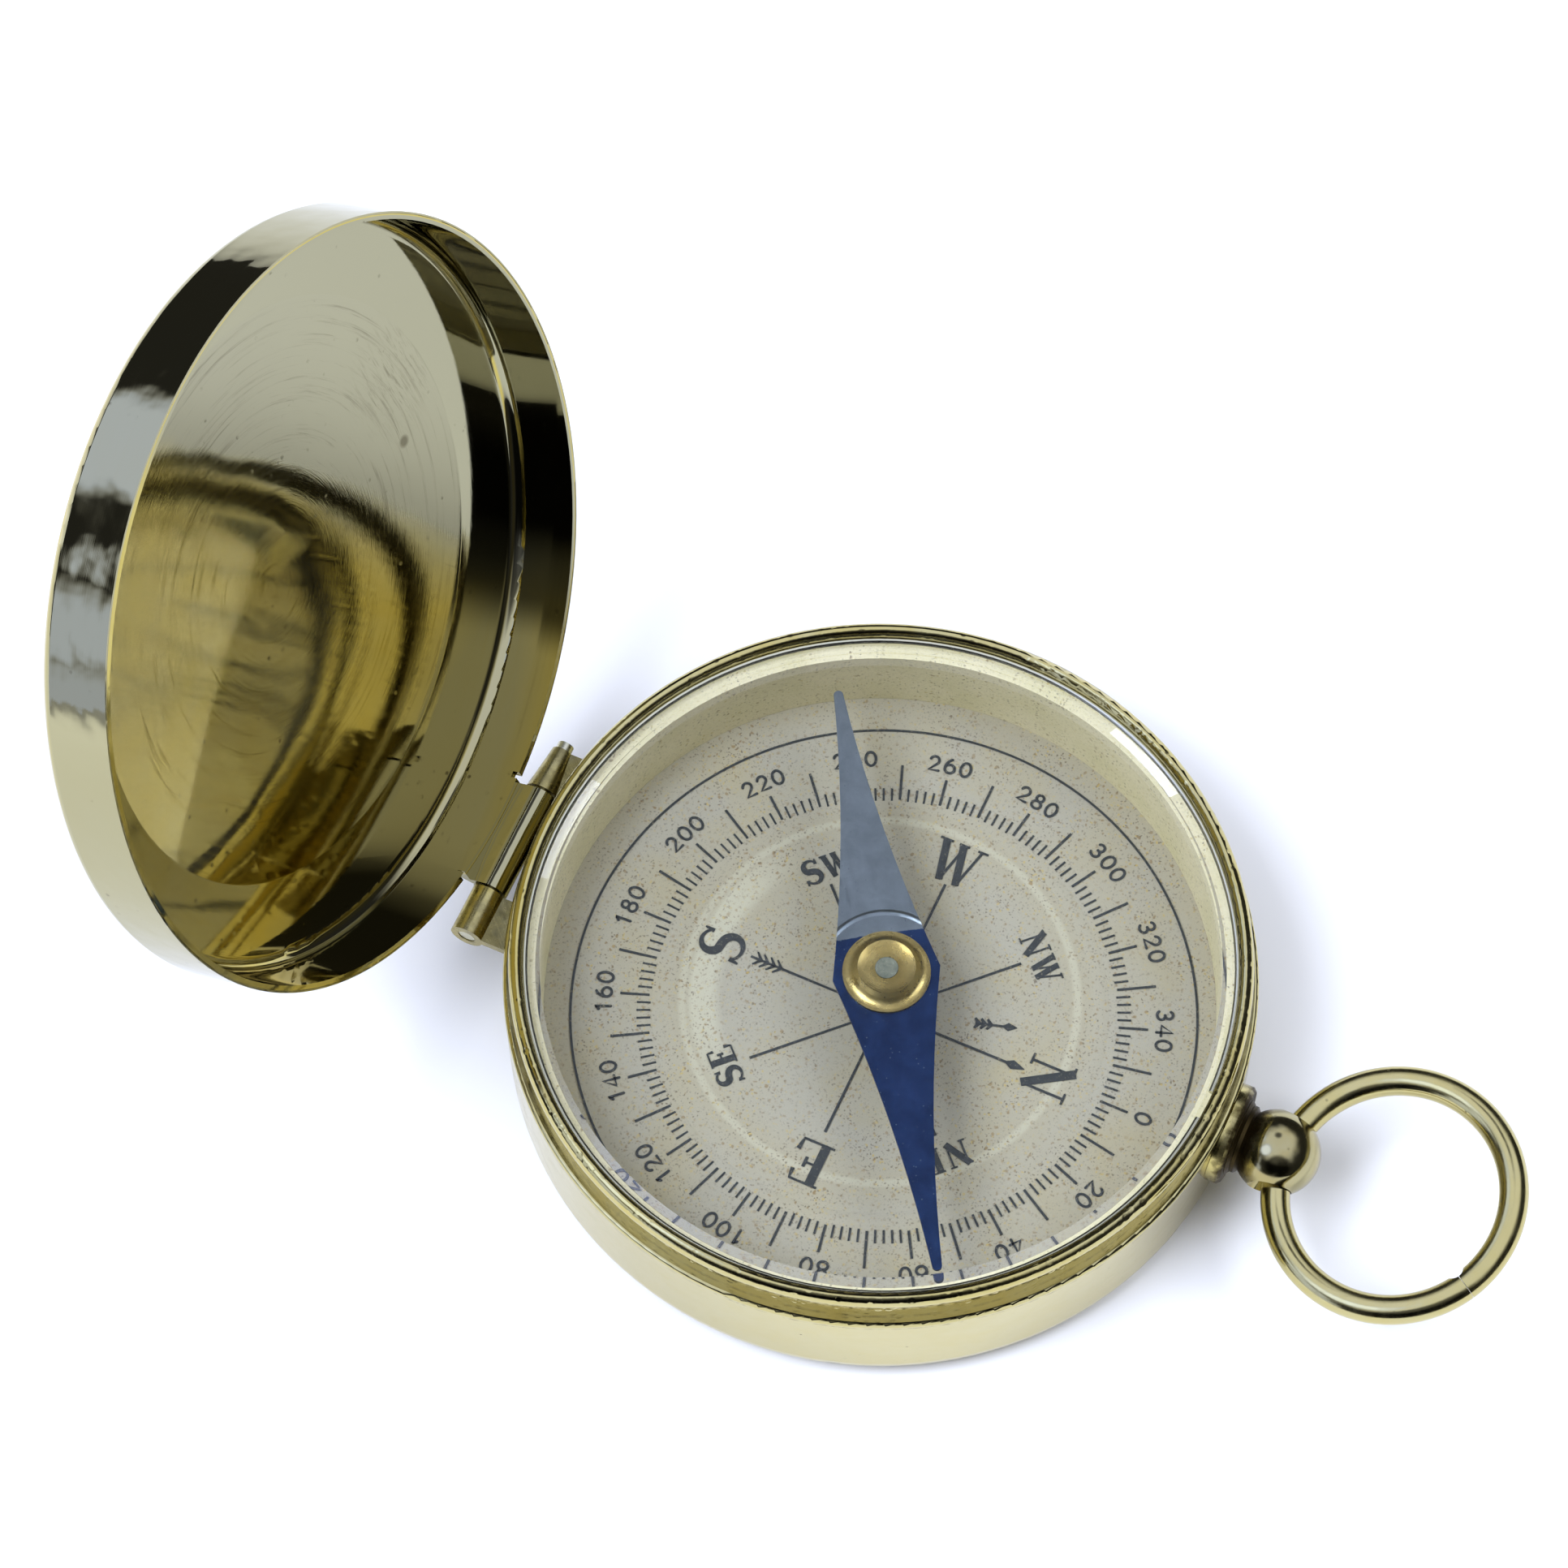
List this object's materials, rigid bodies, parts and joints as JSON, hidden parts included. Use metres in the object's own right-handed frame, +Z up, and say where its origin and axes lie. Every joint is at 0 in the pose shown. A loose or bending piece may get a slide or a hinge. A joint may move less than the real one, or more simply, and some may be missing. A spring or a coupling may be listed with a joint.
{
  "type": "pocket compass",
  "caption": "Round brass pocket compass: hinged lid, bevelled glass, printed degree card, blued needle on a pivot, and a wire bow on a ball pendant.",
  "frame": {"origin": "centre of the flat underside of the case, on the table", "axes": "+Z up through the glass, +X towards the pendant and its bow, the lid's hinge on the -X side with its pin along Y; the lid is stored open"},
  "size_m": [0.0881, 0.0462, 0.0517],
  "materials": {
    "case_cup": "polished",
    "case_bezel": "polished",
    "glass": "clear, bevelled edge",
    "glass_snap_ring": "bright wire",
    "spacer_ring": "matt cream",
    "dial_card": "matt, aged, printed in black",
    "dial_plate": "plain",
    "pivot_base": "turned",
    "pivot_pin": "ground point",
    "needle_blade": "one half blued, the other bare",
    "needle_cap": "turned, dished top",
    "cap_jewel": "grey, dull",
    "hinge_knuckle_upper": "polished",
    "hinge_knuckle_lower": "polished",
    "hinge_pin": "plain",
    "lid_shell": "spun and polished",
    "pendant_collar": "turned, dark in the steps",
    "pendant_stem": "turned ball, polished",
    "pendant_washer": "plain",
    "bow_ring": "bent wire, polished"
  },
  "bodies": {
    "case": {"case_cup": "case_cup", "case_bezel": "case_bezel", "glass": "glass", "glass_snap_ring": "glass_snap_ring", "spacer_ring": "spacer_ring", "dial_card": "dial_card", "dial_plate": "dial_plate", "pivot_base": "pivot_base", "pivot_pin": "pivot_pin", "hinge_knuckle_upper": "hinge_knuckle_upper", "hinge_knuckle_lower": "hinge_knuckle_lower", "hinge_pin": "hinge_pin", "pendant_collar": "pendant_collar", "pendant_stem": "pendant_stem", "pendant_washer": "pendant_washer"},
    "lid": {"lid_shell": "lid_shell"},
    "needle": {"needle_blade": "needle_blade", "needle_cap": "needle_cap", "cap_jewel": "cap_jewel"},
    "bow": {"bow_ring": "bow_ring"}
  },
  "joints": [
    {"name": "lid_hinge", "type": "hinge", "parent": "case", "child": "lid", "pos_m": [-0.02423, 0, 0.00784], "axis": [0, -1, 0], "range_deg": [-110.9, 0]},
    {"name": "needle_spin", "type": "hinge", "parent": "case", "child": "needle", "pos_m": [0.0004, 0, 0.00855], "axis": [0, 0, 1], "continuous": true},
    {"name": "bow_swing", "type": "hinge", "parent": "case", "child": "bow", "pos_m": [0.02675, 0, 0.0056], "axis": [0, 0.989, 0.1478], "range_deg": [-102, 135]}
  ]
}
